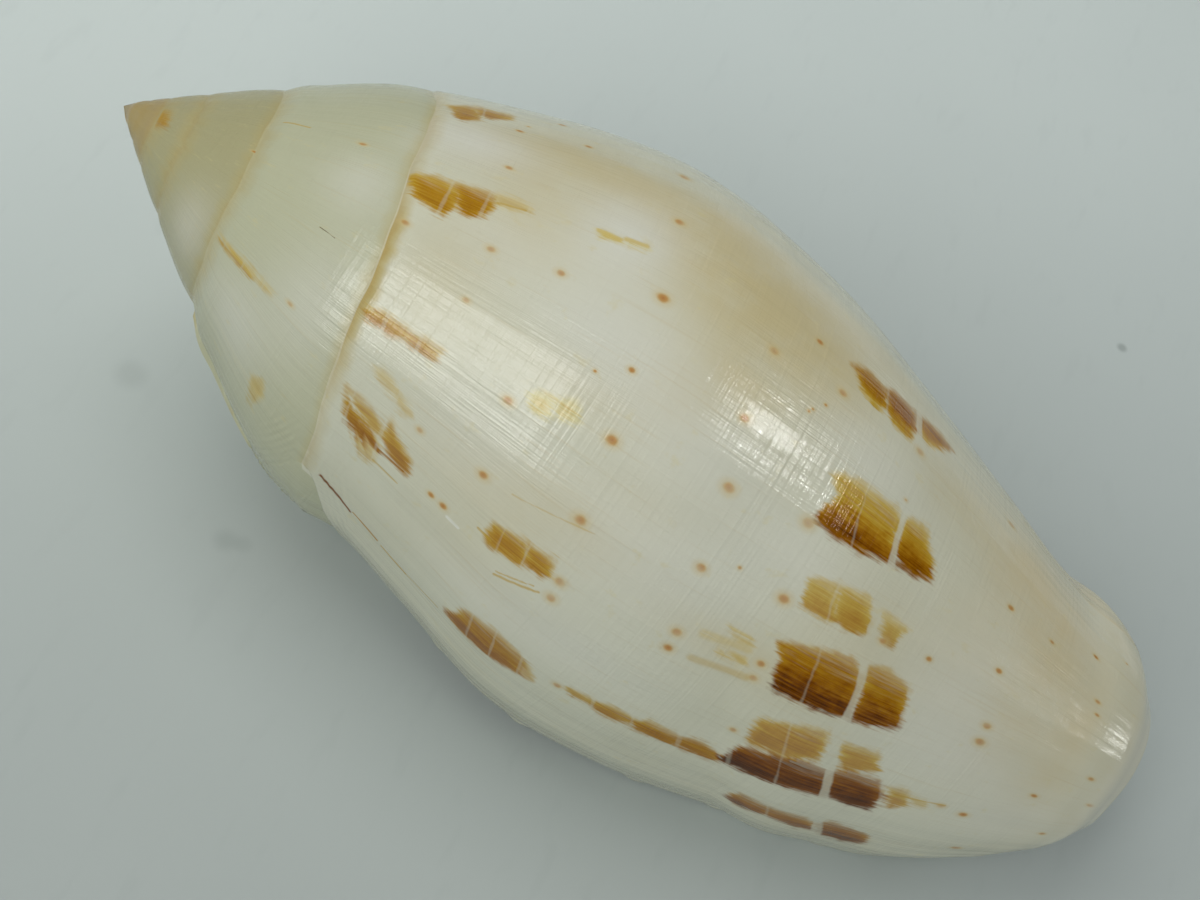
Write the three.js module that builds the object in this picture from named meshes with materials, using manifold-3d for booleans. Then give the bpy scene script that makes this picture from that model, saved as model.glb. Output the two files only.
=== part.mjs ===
// Nut mitre shell: one grown piece, coiled clockwise towards the opening, lying on its opening.
// Millimetres, +Z up. The origin is on the floor under the middle of the shell.
import * as THREE from 'three';
import Module from 'manifold-3d';

// ---------- driving dimensions ----------
const LENGTH = 48;            // tip of the spire to the front end, along the coiling axis
const GRID = 1182;            // the tables below divide that length into this many steps
const WALL = 33;              // wall behind the lip, in steps
const LIP_WALL = 22;          // wall at the outer lip, in steps
const CALLUS = 7;             // glaze laid over the older whorl inside the opening, in steps
const PILLAR = 42;            // radius of the central column, in steps
const COLUMNS = 40;           // columns of facets round one turn
const LIP_BACK = -0.09;       // how far the lip stays behind where it meets the spire, in turns
const FLAT_CUT = 0.35;       // mm taken off the lowest points as resting spots
const REST = { roll: 52.661, pitch: -10.347, heading: 180 };   // degrees

// natural logarithm of the suture's distance from the tip, against turns before the lip
const SUTURE_T = [-6, -5, -4, -3, -2.5, -2.25, -2, -1.5, -1.25, -1, -0.75, -0.5, -0.375, -0.25, -0.125, 0, 0.25, 0.5, 0.75, 1];
const SUTURE_L = [2.20, 2.77, 3.33, 3.87, 4.16, 4.32, 4.46, 4.80, 4.955, 5.09, 5.285, 5.475, 5.555, 5.653, 5.768, 5.87, 6.09, 6.31, 6.54, 6.78];
// radius of the last turn at five places round it; first from suture to suture, then on to the front end
const KEY_T = [-1, -0.75, -0.5, -0.25, 0];
const BAND_F = [0, 0.03, 0.08, 0.25, 0.5, 0.75, 1];
const BAND_R = [
  [131, 141, 149, 171, 202, 226, 238],
  [152, 161, 168, 192, 221, 240, 247],
  [174, 182, 186, 207, 234, 252, 254],
  [204, 212, 215, 236, 267, 281, 273],
  [234, 236, 237, 260, 297, 292, 265]];
const BASE_G = [0, 0.2, 0.4, 0.6, 0.8, 0.92, 1];
const BASE_R = [
  [238, 220, 184, 146, 108, 82, 56],
  [247, 234, 202, 162, 122, 95, 72],
  [254, 236, 202, 164, 127, 119, 82],
  [273, 258, 227, 191, 152, 128, 98],
  [265, 263, 248, 235, 206, 180, 144]];
const END_T = [-1, -0.75, -0.6, -0.5, -0.42, -0.33, -0.25, -0.18, -0.125, -0.06, 0];
const END_Z = [1118, 1112, 1112, 1139, 1161, 1177, 1182, 1180, 1176, 1144, 1098];
// folds on the central column: distance along the axis at the lip, height, half width
const FOLDS = [[640, 17, 17], [712, 19, 19], [784, 17, 18], [850, 13, 16], [908, 9, 14]];

// rows of facets from suture to suture, for each of the six turns
const ROWS = [
  [0, 0.4, 1], [0, 0.4, 1], [0, 0.12, 0.5, 1], [0, 0.06, 0.2, 0.5, 0.76, 1],
  [0, 0.04, 0.1, 0.2, 0.36, 0.54, 0.72, 0.87, 1],
  [0, 0.03, 0.08, 0.15, 0.24, 0.34, 0.45, 0.56, 0.67, 0.78, 0.89, 1]];
const BASE_ROWS = [0.09, 0.18, 0.27, 0.36, 0.46, 0.56, 0.66, 0.75, 0.83, 0.9, 0.96, 1];

// ---------- curves ----------
function slopes(x, y) {
  const n = x.length, m = new Array(n);
  const d = i => (y[i + 1] - y[i]) / (x[i + 1] - x[i]);
  for (let i = 1; i < n - 1; i++) {
    const a = x[i + 1] - x[i], b = x[i] - x[i - 1];
    m[i] = (d(i - 1) * a + d(i) * b) / (a + b);
  }
  m[0] = 1.5 * d(0) - 0.5 * m[1];
  m[n - 1] = 1.5 * d(n - 2) - 0.5 * m[n - 2];
  return m;
}
function curve(x, y, v) {
  const n = x.length, m = slopes(x, y);
  let i = 0;
  while (i < n - 2 && v >= x[i + 1]) i++;
  const h = x[i + 1] - x[i], s = (v - x[i]) / h;
  return y[i] * (1 + 2 * s) * (1 - s) ** 2 + m[i] * h * s * (1 - s) ** 2 +
    y[i + 1] * s * s * (3 - 2 * s) + m[i + 1] * h * s * s * (s - 1);
}
const clamp = (v, a, b) => Math.min(b, Math.max(a, v));
const ease = v => { const s = clamp(v, 0, 1); return s * s * (3 - 2 * s); };
const suture = t => Math.exp(curve(SUTURE_T, SUTURE_L, t));
const spireRadius = z => z * (0.86 - 0.00055 * z);
const bandKeys = BAND_F.map((_, j) => BAND_R.map(row => row[j]));
const baseKeys = BASE_G.map((_, j) => BASE_R.map(row => row[j]));
const swell = (() => {
  const r = BAND_R[0], span = suture(0) - suture(-1);
  return BAND_F.map((f, j) => (r[j] - (r[0] + (r[6] - r[0]) * f)) / span);
})();
function bandRadius(t, f) {
  if (t < -1) {
    const a = suture(t), b = suture(t + 1), g = 0.55 + 0.45 * clamp((t + 2.2) / 1.2, 0, 1);
    return spireRadius(a) + (spireRadius(b) - spireRadius(a)) * f + curve(BAND_F, swell, f) * (b - a) * g;
  }
  const u = Math.min(t, 0);
  return curve(BAND_F, bandKeys.map(k => curve(KEY_T, k, u)), f);
}
function baseRadius(t, g) {
  if (t < -1) return baseRadius(-1, g) * suture(t) / suture(-1);
  const u = Math.min(t, 0);
  return curve(BASE_G, baseKeys.map(k => curve(KEY_T, k, u)), g);
}
const end = t => t < -1 ? curve(END_T, END_Z, -1) * suture(t) / suture(-1) : curve(END_T, END_Z, Math.min(t, 0));
// outside radius at turn t and distance z from the tip
function radius(t, z) {
  const a = suture(t), b = suture(t + 1), e = end(t);
  if (z <= b) return bandRadius(t, clamp((z - a) / (b - a), 0, 1));
  return baseRadius(t, clamp((z - b) / (e - b), 0, 1));
}
const back = t => LIP_BACK * (t <= 0 ? ease((t + 0.22) / 0.22) : 1 - ease(t / 0.2));
function place(t, z, r) {
  const q = 2 * Math.PI * t;
  return [r * Math.cos(q), -r * Math.sin(q), -z];
}

// ---------- outside ----------
const verts = [], tris = [];
const addVert = p => verts.push(p) - 1;
const tri = (a, b, c) => { if (a !== b && b !== c && a !== c) tris.push([a, b, c]); };
// facets between two columns of [vertex, parameter], both running the same way
function zip(a, b) {
  let i = 0, j = 0;
  while (i < a.length - 1 || j < b.length - 1) {
    const goA = j === b.length - 1 || (i < a.length - 1 && a[i + 1][1] <= b[j + 1][1] + 1e-9);
    if (goA) { tri(a[i][0], a[i + 1][0], b[j][0]); i++; } else { tri(a[i][0], b[j + 1][0], b[j][0]); j++; }
  }
}
const N = 6 * COLUMNS;
const bands = [], bases = [];
const turnOf = i => -6 + i / COLUMNS;
for (let i = 0; i <= N; i++) {
  const t = turnOf(i), k = Math.min(5, Math.floor(i / COLUMNS));
  const rows = ROWS[k], col = [];
  rows.forEach((f, j) => {
    const shift = back(t) * (1 - ease(f / 0.14)) + (t < -1.3 ? 0 : back(t + 1) * ease((f - 0.6) / 0.4));
    const u = t + shift, a = suture(u), b = suture(u + 1);
    // the top row of a turn is the bottom row of the turn before it
    const id = j === 0 && i >= COLUMNS ? bands[i - COLUMNS].at(-1)[0] : addVert(place(u, a + (b - a) * f, bandRadius(u, f)));
    col.push([id, f]);
  });
  bands.push(col);
  if (i >= N - COLUMNS) {
    const base = [[col.at(-1)[0], 0]];
    for (const g of BASE_ROWS) {
      const u = t + back(t + 1) * (1 - ease(g / 0.3)), b = suture(u + 1), e = end(u);
      base.push([addVert(place(u, b + (e - b) * g, baseRadius(u, g))), g]);
    }
    bases.push(base);
  }
}
for (let i = 0; i < N; i++) zip(bands[i], bands[i + 1]);
for (let i = 0; i < COLUMNS; i++) zip(bases[i], bases[i + 1]);
// tip
const tip = addVert([0, 0, -3]);
for (let i = 0; i < COLUMNS; i++) tri(tip, bands[i][0][0], bands[i + 1][0][0]);
for (let j = bands[0].length - 1; j > 0; j--) tri(tip, bands[0][j][0], bands[0][j - 1][0]);
// the plane of the opening, between outer lip and older whorl
const reach = ids => {
  let s = 0; const out = [[ids[0], 0]];
  for (let i = 1; i < ids.length; i++) { s += Math.abs(verts[ids[i]][2] - verts[ids[i - 1]][2]); out.push([ids[i], s]); }
  return out;
};
zip(reach([...bands[N].map(c => c[0]), ...bases[COLUMNS].slice(1).map(c => c[0])]), reach(bases[0].map(c => c[0])));
// front end
const nose = addVert([14, 22, -1128]);
for (let i = 0; i < COLUMNS; i++) tri(nose, bases[i + 1].at(-1)[0], bases[i].at(-1)[0]);
tri(nose, bases[0].at(-1)[0], bases[COLUMNS].at(-1)[0]);

// ---------- hollow ----------
const hv = [], ht = [];
const OUT_N = 12, IN_N = 29;
const wall = t => LIP_WALL + (WALL - LIP_WALL) * ease(-t / 0.16);
const glaze = t => 1.2 + (CALLUS - 1.2) * ease(-t / 0.1) + 120 * Math.max(t, 0);
function fold(t, z) {
  const k = t < 0 ? suture(t) / suture(0) : 1;
  let h = 0;
  for (const [c, high, half] of FOLDS) h += high * k * Math.exp(-(((z / k - c) / half) ** 2));
  return h * (1 - ease((t + 0.08) / 0.08));
}
function inner(t, z) {
  const e = end(t - 1);
  const r = z < e ? radius(t - 1, z) : 0;
  const k = clamp(suture(t) / suture(0), 0.3, 1);
  return Math.max(r + glaze(t), PILLAR * (0.55 + 0.45 * k)) + fold(t, z);
}
const outer = (t, z) => radius(Math.min(t, 0), Math.min(z, end(t))) - wall(t);
const stations = [0.13, 0.05, 0.015, 0, -0.015, -0.03, -0.05, -0.075, -0.1];
while (stations.at(-1) > -0.6) stations.push(stations.at(-1) - 0.0278);
while (stations.at(-1) > -1.6) stations.push(stations.at(-1) - 0.042);
stations.reverse();
const STEPS = stations.length - 1;
for (let i = 0; i <= STEPS; i++) {
  const t = stations[i];
  // where the hollow begins and ends along the axis on this column
  const a = suture(t), e = end(t) + 60;
  let z0 = a, z1 = e;
  while (z0 < e && outer(t, z0) - inner(t, z0) < 3) z0 += 2;
  z1 = z0;
  while (z1 < end(t) - 14 && outer(t, z1) - inner(t, z1) > 3) z1 += 2;
  // the front notch is open over the last part of the turn
  z1 += (e - z1) * ease((t + 0.52) / 0.1);
  const q = 2 * Math.PI * t, put = (z, r) => hv.push([r * Math.cos(q), -r * Math.sin(q), -z]);
  const mid = (outer(t, z0) + inner(t, z0)) / 2;
  put(z0, mid);
  for (let j = 1; j <= OUT_N; j++) { const s = j / OUT_N, z = z0 + (z1 - z0) * (0.35 * s * s + 0.65 * s); put(z, Math.max(outer(t, z), inner(t, z) + 1.5)); }
  for (let j = IN_N; j >= 1; j--) { const s = j / IN_N, z = z0 + (z1 - z0) * s; put(z, inner(t, z)); }
}
const RING = 1 + OUT_N + IN_N;
for (let i = 0; i < STEPS; i++) for (let j = 0; j < RING; j++) {
  const a = i * RING + j, b = i * RING + (j + 1) % RING, c = a + RING, d = b + RING;
  ht.push([a, d, c], [a, b, d]);
}
for (const [s, flip] of [[0, true], [STEPS * RING, false]]) {
  // end caps, triangulated across from the outside row to the inside row
  const A = [], B = [];
  for (let j = 0; j <= OUT_N; j++) A.push([s + j, hv[s + j][2] * -1]);
  for (let j = 0; j <= IN_N; j++) { const id = j === 0 ? s : s + RING - j; B.push([id, hv[id][2] * -1]); }
  let i = 0, j = 0;
  const put = (a, b, c) => { if (a !== b && b !== c && a !== c) ht.push(flip ? [a, c, b] : [a, b, c]); };
  while (i < A.length - 1 || j < B.length - 1) {
    const goA = j === B.length - 1 || (i < A.length - 1 && A[i + 1][1] <= B[j + 1][1]);
    if (goA) { put(A[i][0], A[i + 1][0], B[j][0]); i++; } else { put(A[i][0], B[j + 1][0], B[j][0]); j++; }
  }
}

// ---------- solids ----------
const wasm = await Module();
wasm.setup();
function volume(v, t) {
  let s = 0;
  for (const [a, b, c] of t) {
    const [x1, y1, z1] = v[a], [x2, y2, z2] = v[b], [x3, y3, z3] = v[c];
    s += x1 * (y2 * z3 - z2 * y3) - y1 * (x2 * z3 - z2 * x3) + z1 * (x2 * y3 - y2 * x3);
  }
  return s / 6;
}
function solid(v, t) {
  const k = LENGTH / GRID, flip = volume(v, t) < 0;
  return new wasm.Manifold(new wasm.Mesh({
    numProp: 3,
    vertProperties: new Float32Array(v.flat().map(c => c * k)),
    triVerts: new Uint32Array(t.flatMap(([a, b, c]) => flip ? [a, c, b] : [a, b, c])),
  }));
}
let body = solid(verts, tris).subtract(solid(hv, ht));
// keep the shell itself, without crumbs
body = body.decompose().sort((p, q) => q.volume() - p.volume())[0];
// axis along the floor, then roll onto the lip, pitch and turn
const turn = new THREE.Matrix4().makeRotationZ(THREE.MathUtils.degToRad(REST.heading))
  .multiply(new THREE.Matrix4().makeRotationY(THREE.MathUtils.degToRad(REST.pitch)))
  .multiply(new THREE.Matrix4().makeRotationX(THREE.MathUtils.degToRad(REST.roll)))
  .multiply(new THREE.Matrix4().makeRotationY(Math.PI / 2));
body = body.transform(turn.elements);
let box = body.boundingBox();
body = body.translate([-(box.min[0] + box.max[0]) / 2, -(box.min[1] + box.max[1]) / 2, -box.min[2] - FLAT_CUT]);
const under = (() => {
  const g = new THREE.BoxGeometry(200, 200, 50).toNonIndexed(), p = g.attributes.position, map = new Map(), v = [], t = [];
  for (let i = 0; i < p.count; i++) {
    const key = [p.getX(i), p.getY(i), p.getZ(i)].join();
    if (!map.has(key)) { map.set(key, v.length / 3); v.push(p.getX(i), p.getY(i), p.getZ(i) - 25); }
    t.push(map.get(key));
  }
  return new wasm.Manifold(new wasm.Mesh({ numProp: 3, vertProperties: new Float32Array(v), triVerts: new Uint32Array(t) }));
})();
if (FLAT_CUT > 0) body = body.subtract(under);

const mesh = body.getMesh(), pos = [], n = mesh.numProp;
for (let i = 0; i < mesh.vertProperties.length; i += n) pos.push(mesh.vertProperties[i], mesh.vertProperties[i + 1], mesh.vertProperties[i + 2]);
const geometry = new THREE.BufferGeometry();
geometry.setAttribute('position', new THREE.Float32BufferAttribute(pos, 3));
geometry.setIndex(Array.from(mesh.triVerts));
geometry.computeVertexNormals();
const shell = new THREE.Mesh(geometry, new THREE.MeshStandardMaterial({ color: 0xe9e4d6, roughness: 0.22, metalness: 0 }));
shell.name = 'shell';
const group = new THREE.Group();
group.name = 'nut_mitre_shell';
group.add(shell);
export default group;
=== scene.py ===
# Nut mitre shell: a glossy porcelain-like shell with streaked brown blotches, lying on its opening on a pale floor.
import math

import bpy
import numpy as np
from mathutils import Matrix, Vector


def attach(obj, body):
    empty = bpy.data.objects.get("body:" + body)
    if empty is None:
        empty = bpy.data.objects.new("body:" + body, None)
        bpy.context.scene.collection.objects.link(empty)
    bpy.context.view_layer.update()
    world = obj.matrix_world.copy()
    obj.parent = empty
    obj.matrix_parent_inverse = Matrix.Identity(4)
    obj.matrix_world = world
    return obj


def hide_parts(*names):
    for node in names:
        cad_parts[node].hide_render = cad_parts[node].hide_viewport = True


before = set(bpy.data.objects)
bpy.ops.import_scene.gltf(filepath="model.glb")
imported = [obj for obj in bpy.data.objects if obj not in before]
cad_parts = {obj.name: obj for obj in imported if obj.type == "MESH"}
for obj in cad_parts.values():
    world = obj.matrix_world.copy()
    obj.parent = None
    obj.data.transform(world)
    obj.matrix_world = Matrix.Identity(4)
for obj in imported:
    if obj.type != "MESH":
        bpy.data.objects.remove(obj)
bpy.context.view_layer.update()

rng = np.random.default_rng(1182)

# ---------- driving dimensions ----------
LENGTH, GRID = 0.048, 1182.0      # metres from the tip to the front end; the tables divide that into steps
K = LENGTH / GRID
MM = K * 1000
GIRTH = 74.0                      # millimetres round the widest place, one turn of the pattern coordinate
WALL, LIP_WALL, CALLUS, PILLAR, LIP_BACK = 33.0, 22.0, 7.0, 42.0, -0.09
LIP_ROUND = 9.0                   # rounding of the lip, in steps
# the shell's own axes and tip in the row frame
AXES = np.array([[-0.108938, 0.142800, -0.983738], [-0.795061, -0.606530, 0.0], [-0.596666, 0.782132, 0.179609]])
TIP = np.array([-0.02396115, 0.00081550, 0.01276487])

SUTURE_T = [-6, -5, -4, -3, -2.5, -2.25, -2, -1.5, -1.25, -1, -0.75, -0.5, -0.375, -0.25, -0.125, 0, 0.25, 0.5, 0.75, 1]
SUTURE_L = [2.20, 2.77, 3.33, 3.87, 4.16, 4.32, 4.46, 4.80, 4.955, 5.09, 5.285, 5.475, 5.555, 5.653, 5.768, 5.87, 6.09, 6.31, 6.54, 6.78]
KEY_T = [-1, -0.75, -0.5, -0.25, 0]
BAND_F = [0, 0.03, 0.08, 0.25, 0.5, 0.75, 1]
BAND_R = np.array([[132, 138, 149, 171, 202, 226, 238], [153, 158, 168, 192, 221, 240, 247], [175, 179, 186, 207, 234, 252, 254],
                   [205, 209, 215, 236, 267, 281, 273], [234, 236, 237, 260, 297, 292, 265]], float)
BASE_G = [0, 0.2, 0.4, 0.6, 0.8, 0.92, 1]
BASE_R = np.array([[238, 220, 184, 146, 108, 82, 56], [247, 234, 202, 162, 122, 95, 72], [254, 236, 202, 164, 127, 119, 82],
                   [273, 258, 227, 191, 152, 128, 98], [265, 263, 248, 235, 206, 180, 144]], float)
END_T = [-1, -0.75, -0.6, -0.5, -0.42, -0.33, -0.25, -0.18, -0.125, -0.06, 0]
END_Z = [1118, 1112, 1112, 1139, 1161, 1177, 1182, 1180, 1176, 1144, 1098]
FOLDS = [(640, 17, 17), (712, 19, 19), (784, 17, 18), (850, 13, 16), (908, 9, 14)]

# blotches: tone at the older edge, tone at the newer edge, strength, outline as (turns before the lip, steps from the tip)
MARKS = [
    (0.60, 0.38, 1.00, [(-0.3604, 693), (-0.3657, 710.5), (-0.3650, 737.5), (-0.3542, 737.9), (-0.3457, 738.1), (-0.3427, 727.4), (-0.3479, 708.7)]),
    (0.66, 0.40, 1.00, [(-0.3657, 737.2), (-0.3710, 751.5), (-0.3712, 773.5), (-0.3544, 777.6), (-0.3433, 773.1), (-0.3423, 751.4), (-0.3514, 741.7)]),
    (0.62, 0.38, 1.00, [(-0.3689, 778.4), (-0.3762, 794), (-0.3793, 817.1), (-0.3755, 829.5), (-0.3540, 802.9), (-0.3557, 789.6)]),
    (0.33, 0.85, 1.00, [(-0.2892, 718.8), (-0.2947, 729.3), (-0.2989, 789.5), (-0.2929, 797.2), (-0.2801, 801.5), (-0.2684, 810.8), (-0.2655, 790.2), (-0.2629, 770.1), (-0.2617, 749.1), (-0.2627, 737.2), (-0.2649, 724), (-0.2776, 732.5), (-0.2838, 732.9)]),
    (0.36, 0.85, 1.00, [(-0.2961, 804.4), (-0.3025, 827.2), (-0.2942, 836.1), (-0.2865, 847.5), (-0.2752, 853.8), (-0.2697, 833.9), (-0.2707, 813.3), (-0.2805, 808.6)]),
    (0.30, 0.50, 0.85, [(-0.2374, 751.8), (-0.2429, 775.7), (-0.2355, 782.2), (-0.2239, 791.4), (-0.2216, 781.2), (-0.2225, 758.9), (-0.2317, 754.3)]),
    (0.32, 0.55, 0.90, [(-0.2423, 780.8), (-0.2464, 809.9), (-0.2377, 817.4), (-0.2337, 824.1), (-0.2266, 825.6), (-0.2232, 809.6), (-0.2256, 792.6), (-0.2343, 785.7)]),
    (0.30, 0.55, 0.80, [(-0.2435, 830.5), (-0.2421, 860.2), (-0.2366, 855.6), (-0.2280, 855.9), (-0.2267, 845.8), (-0.2355, 837.1)]),
    (0.54, 0.95, 1.00, [(-0.1994, 761.5), (-0.2027, 774.2), (-0.2126, 826.4), (-0.2055, 845.8), (-0.1918, 855.2), (-0.1781, 862.7), (-0.1765, 847.6), (-0.1748, 816), (-0.1744, 783.3), (-0.1824, 777.9), (-0.1922, 774.4)]),
    (0.50, 0.90, 1.00, [(-0.2120, 849.2), (-0.2162, 867), (-0.2101, 896.6), (-0.1972, 901.9), (-0.1847, 911.3), (-0.1791, 887.1), (-0.1785, 866.5), (-0.1907, 860.9)]),
    (0.44, 0.56, 0.85, [(-0.1544, 796.4), (-0.1666, 854.9), (-0.1574, 861.4), (-0.1466, 865.3), (-0.1365, 843.5), (-0.1346, 802.1)]),
    (0.80, 1.00, 1.00, [(-0.1105, 800), (-0.1278, 805.2), (-0.1328, 831), (-0.1398, 856.3), (-0.1370, 887.9), (-0.1183, 899.4), (-0.1172, 880.3), (-0.1150, 854.1), (-0.1121, 821.5)]),
    (0.40, 0.56, 0.85, [(-0.1620, 876.8), (-0.1653, 911.1), (-0.1511, 922.5), (-0.1437, 890.9)]),
    (0.75, 1.00, 1.00, [(-0.1394, 889.5), (-0.1455, 903.5), (-0.1449, 933.1), (-0.1347, 945.9), (-0.1177, 950.6), (-0.1164, 929.5), (-0.1205, 899.1)]),
    (0.40, 0.55, 0.80, [(-0.1422, 949.7), (-0.1450, 964.7), (-0.1316, 976.2), (-0.1250, 963.9)]),
    (0.30, 0.40, 0.50, [(-0.1413, 972.7), (-0.1400, 988.8), (-0.1345, 992.2), (-0.1326, 979.3)]),
    (0.52, 0.68, 1.00, [(-0.1135, 752.4), (-0.1179, 766.1), (-0.1136, 790.6), (-0.1068, 795), (-0.1058, 775.9), (-0.1070, 758.8)]),
    (0.50, 0.64, 1.00, [(-0.1093, 709.4), (-0.1156, 719), (-0.1146, 752.4), (-0.1079, 759), (-0.1054, 739.4), (-0.1051, 715.5)]),
    (0.46, 0.60, 0.95, [(-0.1077, 668.2), (-0.1134, 681), (-0.1129, 700.6), (-0.1077, 704.6), (-0.1044, 688.6), (-0.1039, 674.1)]),
    (0.40, 0.52, 0.85, [(-0.1085, 643.6), (-0.1108, 659.8), (-0.1075, 664.1), (-0.1044, 648.6)]),
    (0.60, 0.90, 0.95, [(-0.0730, 840.3), (-0.0863, 846), (-0.0859, 877.9), (-0.0858, 910), (-0.0706, 932.5), (-0.0705, 914.9), (-0.0747, 881.4), (-0.0689, 854.4)]),
    (0.65, 0.95, 0.95, [(-0.0791, 929.5), (-0.0909, 937.2), (-0.0835, 975.8), (-0.0703, 982.6), (-0.0654, 966.2), (-0.0672, 944.9)]),
    (0.45, 0.50, 0.80, [(-0.1705, 330), (-0.1716, 342.8), (-0.1655, 365.8), (-0.1594, 368.8), (-0.1590, 359), (-0.1632, 343.4)]),
    (0.50, 0.70, 0.95, [(-0.1727, 323.5), (-0.1611, 336.5), (-0.1557, 367.5), (-0.1498, 372.5), (-0.1475, 356.1), (-0.1511, 338.1)]),
    (0.45, 0.65, 0.90, [(-0.1745, 371.6), (-0.1645, 387.3), (-0.1605, 401.5), (-0.1519, 404.7), (-0.1527, 391.1), (-0.1563, 378.5)]),
    (0.35, 0.40, 0.50, [(-0.1427, 357.7), (-0.1558, 372.8), (-0.1374, 373.3), (-0.1373, 364.1)]),
    (0.45, 0.55, 0.95, [(-0.1681, 495.1), (-0.1730, 524.7), (-0.1659, 530.6), (-0.1586, 529.9), (-0.1552, 502.3), (-0.1573, 495.6)]),
    (0.45, 0.55, 0.95, [(-0.1719, 528.1), (-0.1738, 551.6), (-0.1644, 556), (-0.1607, 551.7), (-0.1603, 537), (-0.1675, 530.9)]),
    (0.50, 0.75, 0.95, [(-0.0936, 521.2), (-0.1041, 524.8), (-0.1102, 548.2), (-0.1094, 572.2), (-0.1058, 591.5), (-0.0949, 594.5), (-0.0905, 575.3), (-0.0877, 548.7), (-0.0873, 528.8), (-0.0880, 512.8)]),
    (0.40, 0.50, 0.60, [(-0.1007, 591.6), (-0.1046, 599.3), (-0.0959, 604.9), (-0.0941, 595.5)]),
    (0.42, 0.55, 1.00, [(-0.3223, 268.9), (-0.3283, 287.2), (-0.3304, 305), (-0.3114, 313.9), (-0.3042, 309.5), (-0.3062, 296.6), (-0.3064, 283.1)]),
    (0.50, 0.60, 1.00, [(-0.3303, 308.7), (-0.3344, 334.9), (-0.3266, 341.6), (-0.3177, 340.4), (-0.3112, 324.9), (-0.3172, 315.4)]),
    (0.45, 0.60, 0.95, [(-0.4200, 265.7), (-0.4333, 283.9), (-0.4083, 289.6), (-0.3982, 279.8), (-0.4036, 272.1)]),
    (0.45, 0.60, 0.90, [(-0.4338, 287.4), (-0.4349, 313.2), (-0.4257, 314.9), (-0.4158, 299.9), (-0.4190, 292.2)]),
    (0.40, 0.65, 0.90, [(-0.2215, 301.4), (-0.2284, 313.8), (-0.2276, 339.7), (-0.2224, 343), (-0.2183, 326), (-0.2176, 307.7)]),
    (0.40, 0.65, 0.85, [(-0.2259, 342.3), (-0.2293, 355), (-0.2279, 369.9), (-0.2236, 372.9), (-0.2204, 358), (-0.2211, 347.8)]),
    (0.13, 0.15, 0.85, [(-0.3404, 430.6), (-0.3417, 444.1), (-0.3427, 459.9), (-0.3390, 460.4), (-0.3364, 438.5)]),
    (0.13, 0.15, 0.80, [(-0.3438, 462.8), (-0.3442, 475.3), (-0.3412, 475.4), (-0.3407, 464.7)]),
    (0.09, 0.10, 0.80, [(-0.2381, 455.6), (-0.2443, 470.3), (-0.2348, 480.5), (-0.2291, 467.2)]),
    (0.09, 0.10, 0.70, [(-0.2430, 474.7), (-0.2492, 490.2), (-0.2399, 500.4), (-0.2339, 485.6)]),
    (0.35, 0.50, 0.80, [(-1.1748, 155.9), (-1.1804, 161.3), (-1.1836, 195), (-1.1783, 194.6)]),
    (0.30, 0.40, 0.50, [(-1.1817, 204.5), (-1.1848, 207.6), (-1.1850, 219.4), (-1.1809, 217.3)]),
    (0.30, 0.40, 0.60, [(-1.1119, 249), (-1.1211, 256.4), (-1.1103, 260.7), (-1.0836, 255.9)]),
    (0.50, 0.60, 0.80, [(-3.3277, 40), (-3.3247, 44.9), (-3.2705, 47.8), (-3.2617, 43.6)]),
    (0.30, 0.40, 0.40, [(-0.1947, 335.2), (-0.1978, 342.2), (-0.1914, 359), (-0.1878, 355.6)]),
    (0.30, 0.40, 0.40, [(-0.1898, 360.4), (-0.1914, 364.5), (-0.1852, 378.2), (-0.1824, 375.1)]),
    (0.30, 0.35, 0.45, [(-0.3351, 345.1), (-0.3377, 356.1), (-0.3360, 369.5), (-0.3321, 370.8), (-0.3297, 358.4), (-0.3302, 348.7)]),
    (0.25, 0.32, 0.60, [(-0.1939, 718), (-0.1948, 737.4), (-0.1909, 740), (-0.1906, 724.1)]),
    (0.28, 0.34, 0.60, [(-0.1793, 721.7), (-0.1834, 744.7), (-0.1788, 748), (-0.1763, 727.5)]),
]
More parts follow.
